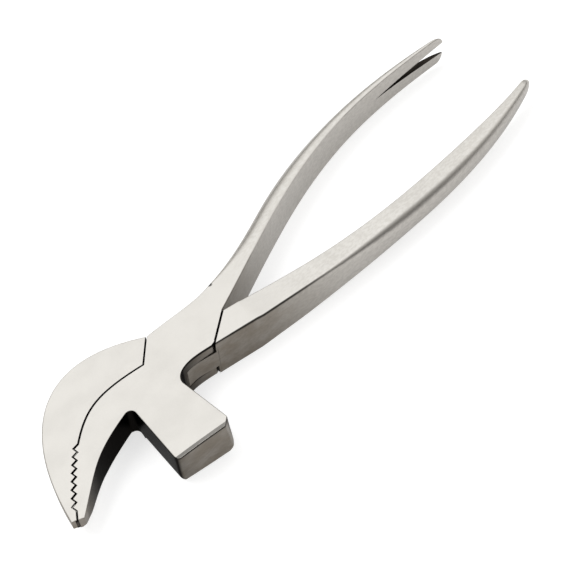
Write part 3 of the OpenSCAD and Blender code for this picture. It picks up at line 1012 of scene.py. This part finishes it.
class MESH_OT_tongue_half(bpy.types.Operator):
    """Builds the half with the outer jaw, the tongue and the plain handle"""

    bl_idname = "mesh.pliers_tongue_half"
    bl_label = "Tongue Half"

    def execute(self, context):
        finish = context.scene.pliers_finish
        t = context.scene.pliers_sizes.head_t / MM
        jaw = plate("tongue_half_visual", outer_jaw_plan(), 0, t)
        clear = Vector((-JAW_SIDE_GAP, JAW_GAP))
        joint_line = [foot(ANGLE_A, SHOULDER_A + GAP_A, s) for s in (A_UP, -A_DOWN)]
        joint_line += [p + clear for p in MEETING]
        shoulder_line = [PLAIN_LOW, PLAIN_TOP]

        def width_of(p, q):
            at = (p + q).to_2d() / 2
            return joint_edge(p, q) if from_line(at, joint_line) < ON_LINE else 0.45

        ground_edges(jaw, width_of)
        thin_jaws(jaw, t)

        # Below their faces the jaws come closer, so that nothing shows through between them
        core = plate("jaw_core", outer_jaw_plan(0.3), CORE_DOWN, t - CORE_DOWN)
        thin_jaws(core, t)
        shrunk = Vector((-33.0, 4.0, t / 2)) * MM
        for v in core.data.vertices:
            if from_line(v.co.to_2d() / MM, MEETING) > 1.0:
                v.co = shrunk + (v.co - shrunk) * 0.97
        cut(jaw, core, "UNION")

        low, high = t / 2 - TONGUE_T / 2, t / 2 + TONGUE_T / 2
        tongue = plate("tongue", hub_and_arms(HUB_R, TONGUE_PAST), low, high)
        limits = (
            [Vector((-60, 60)), Vector((A_TOP.x, 60))]
            + BACK
            + [Vector((60, CLAW_OUTER[0])), Vector((60, -60)), Vector((PLAIN_ROOT, -60))]
            + [PLAIN_OUT]
            + TONGUE_WALL[::-1]
            + [Vector((-60, BELLY_START.y))]
        )
        cut(tongue, plate("limits", limits, 0, t), "INTERSECT")
        cut(jaw, tongue, "UNION")

        shape = {"run": (24, 90), "oval": (0.5, 0.42), "least": (1.0, 2.0), "crisp": (0.4, 0.4)}
        walls = (PLAIN_INNER, PLAIN_OUTER)
        rings = handle_rings(
            PLAIN_ROOT, HANDLE_END, walls, PLAIN_HEIGHTS, PLAIN_NOSE, 0, t, shape
        )
        # A straight block joins the handle to the shoulder
        least, crisp = shape["least"], shape["crisp"]
        steps = 8
        block = []
        for i in range(steps):
            inner, outer = PLAIN_TOP.lerp(PLAIN_IN, i / steps), PLAIN_LOW.lerp(PLAIN_OUT, i / steps)
            block.append(ring(inner, outer, t, least, crisp, crisp, t / 2))
        cut(jaw, loft("plain_handle", block + rings), "UNION")

        # The gap at the shoulder is closed the same way as the jaws'
        near, far = SHOULDER_B + CHEEK_GAP, SHOULDER_B + GAP_B + 0.5
        top = CORE_DOWN - B_UP
        for inset, low, high in ((0.3, CORE_DOWN, t - 2.4), (1.2, t - 2.5, t - 0.4)):
            bottom = B_DOWN - inset
            spans = ((near, bottom), (far, bottom), (far, top), (near, top))
            plan = [foot(ANGLE_B, *span) for span in spans]
            cut(jaw, plate("shoulder_core", plan, low, high), "UNION")
        bore(jaw, PIN_R + PIN_GAP, t)

        # Faces along the joint's and shoulder's lines, in the shoulder's gap and inside the head
        # take the joint's painted shade
        def dark(centre, normal, area):
            at = centre.to_2d()
            from_mid = abs(centre.z - t / 2)
            if from_line(at, shoulder_line) < ON_WALL and abs(normal.z) < 0.9:
                return 1
            buried = from_mid < t / 2 - thinning(at.x) - 0.2
            if abs(normal.z) < FLAT or area < SMALL or buried:
                if from_line(at, joint_line) < 0.26 or from_line(at, MEETING) < 0.14:
                    return 1
            if min(from_line(at, TONGUE_WALL), from_line(at, BACK)) < ON_WALL:
                return 0
            if 0 < at.dot(along(ANGLE_B)) - SHOULDER_B < GAP_B - 0.01:
                return 1
            inside = at.length < INNER_REACH and at.y > -8.5
            return 1 if inside and from_mid < TONGUE_T / 2 + 0.01 else 0

        scale_and_shade_patches = [((2.0, -9.0), 8.0, 30.0, 0.06), ((-8.5, -8.5), 0.6, 1.6, 1.0)]
        painted_rims = [((10.0, -10.0), 20.0, 52.0, 0.86), ((60.0, -20.0), 20.0, 90.0, 0.3)]
        steel = ground_steel("Ground forged steel, plain handle", finish, t, scale_and_shade_patches, painted_rims)
        finish_piece(jaw, TONGUE_BODY, "tongue_half", [steel, joint_shade(t)], dark)
        return {"FINISHED"}


class MESH_OT_pivot_pin(bpy.types.Operator):
    """Builds the pivot pin, ground flush with both faces"""

    bl_idname = "mesh.pliers_pivot_pin"
    bl_label = "Pivot Pin"

    def execute(self, context):
        finish = context.scene.pliers_finish
        t = context.scene.pliers_sizes.head_t / MM
        bpy.ops.object.select_all(action="DESELECT")
        bpy.ops.mesh.primitive_cylinder_add(
            vertices=96, radius=PIN_R * MM, depth=t * MM, location=(0, 0, t / 2 * MM)
        )
        pin = bpy.context.object
        pin.name = pin.data.name = "pivot_pin_visual"
        bpy.ops.object.transform_apply(location=True)
        clean = [((0, 0), 1.0, 2.0, 0.0)]
        steel = ground_steel("Ground pin steel", finish, t, clean, clean)
        finish_piece(pin, HAMMER_BODY, "pivot_pin", [steel])
        return {"FINISHED"}


class SCENE_OT_pliers_stage(bpy.types.Operator):
    """Sets up the floor, the light and the camera"""

    bl_idname = "scene.pliers_stage"
    bl_label = "Stage"

    def execute(self, context):
        scene = context.scene
        bpy.ops.object.select_all(action="DESELECT")
        bpy.ops.mesh.primitive_grid_add(x_subdivisions=4, y_subdivisions=4, size=4)
        floor = bpy.context.object
        floor.name = "floor"
        # Matt paper, lifted to white for the camera and part of the way for reflections
        material, tree = new_material("White table")
        rays = add_node(tree, "LightPath").node.outputs
        seen, mirrored = (
            add_node(tree, "Math", {0: rays[ray], 1: share}, operation="MULTIPLY")
            for ray, share in (("Is Camera Ray", 0.61), ("Is Glossy Ray", 0.35))
        )
        lift = add_node(tree, "Math", {0: seen, 1: mirrored}, operation="MAXIMUM")
        paper = add_node(tree, "BsdfDiffuse", {"Color": linear("#BEBEBE")})
        glow = add_node(tree, "Emission", {"Strength": lift})
        both = add_node(tree, "AddShader", {0: paper, 1: glow})
        add_node(tree, "OutputMaterial", {"Surface": both})
        floor.data.materials.append(material)

        # A tent that is white overhead and darkens towards the table, white to the camera
        world = bpy.data.worlds.new("Light tent")
        scene.world = world
        world.use_nodes = True
        tree = world.node_tree
        tree.nodes.clear()
        place = add_node(tree, "TexCoord", out="Generated")
        height = add_node(tree, "SeparateXYZ", {0: place}, out="Z")
        tent = add_node(tree, "ValToRGB", {"Fac": height})
        band = tent.node.color_ramp
        stops = ((0.0, "#6A6866"), (0.14, "#787674"), (0.4, "#C4C2BE"), (0.6, "#FFFFFF"))
        while len(band.elements) < len(stops):
            band.elements.new(0.5)
        for element, (spot, code) in zip(band.elements, stops):
            element.position = spot
            element.color = linear(code)
        seen = add_node(tree, "LightPath", out="Is Camera Ray")
        inputs = {"Color": linear("#FFFFFF"), "Strength": 1.0}
        white = add_node(tree, "Background", inputs)
        lit = add_node(tree, "Background", {"Color": tent, "Strength": 1.0})
        both = add_node(tree, "MixShader", {0: seen, 1: lit, 2: white})
        add_node(tree, "OutputWorld", {"Surface": both})

        bpy.ops.object.light_add(type="AREA", location=LAMP_AT)
        lamp = bpy.context.object
        lamp.name = "soft_lamp"
        lamp.data.size = 0.6
        lamp.data.energy = 5.0
        lamp.visible_glossy = False
        aim = Vector((0.05, 0, 0)) - lamp.location
        lamp.rotation_euler = aim.to_track_quat("-Z", "Y").to_euler()

        forward = Vector(LOOKS_ALONG).normalized()
        right = Vector(LOOKS_ACROSS).normalized()
        up = right.cross(forward)
        roll = math.radians(ROLL)
        across = right * math.cos(roll) + up * math.sin(roll)
        upward = up * math.cos(roll) - right * math.sin(roll)
        data = bpy.data.cameras.new("camera")
        data.lens, data.sensor_width = 75, 36
        camera = bpy.data.objects.new("camera", data)
        scene.collection.objects.link(camera)
        turn = Matrix((across, upward, -forward)).transposed().to_4x4()
        camera.matrix_world = Matrix.Translation(CAMERA_AT) @ turn
        scene.camera = camera
        scene.view_settings.view_transform = "Standard"
        return {"FINISHED"}


class VIEW3D_PT_lasting_pliers(bpy.types.Panel):
    """Sidebar panel with the pliers' sizes and builders"""

    bl_label = "Lasting Pliers"
    bl_space_type = "VIEW_3D"
    bl_region_type = "UI"
    bl_category = "Lasting Pliers"

    def draw(self, context):
        for group in (context.scene.pliers_sizes, context.scene.pliers_finish):
            for name in group.bl_rna.properties.keys():
                if name not in ("rna_type", "name"):
                    self.layout.prop(group, name)
        for builder in BUILDERS:
            self.layout.operator(builder.bl_idname)


BUILDERS = (MESH_OT_hammer_half, MESH_OT_tongue_half, MESH_OT_pivot_pin, SCENE_OT_pliers_stage)
CLASSES = (PliersSizes, PliersFinish, *BUILDERS, VIEW3D_PT_lasting_pliers)


def register():
    for cls in CLASSES:
        bpy.utils.register_class(cls)
    bpy.types.Scene.pliers_sizes = bpy.props.PointerProperty(type=PliersSizes)
    bpy.types.Scene.pliers_finish = bpy.props.PointerProperty(type=PliersFinish)


def unregister():
    del bpy.types.Scene.pliers_finish
    del bpy.types.Scene.pliers_sizes
    for cls in reversed(CLASSES):
        bpy.utils.unregister_class(cls)


def main():
    """Builds every piece and the stage."""
    register()
    bpy.ops.mesh.pliers_hammer_half()
    bpy.ops.mesh.pliers_tongue_half()
    bpy.ops.mesh.pliers_pivot_pin()
    bpy.ops.scene.pliers_stage()


if __name__ == "__main__":
    main()
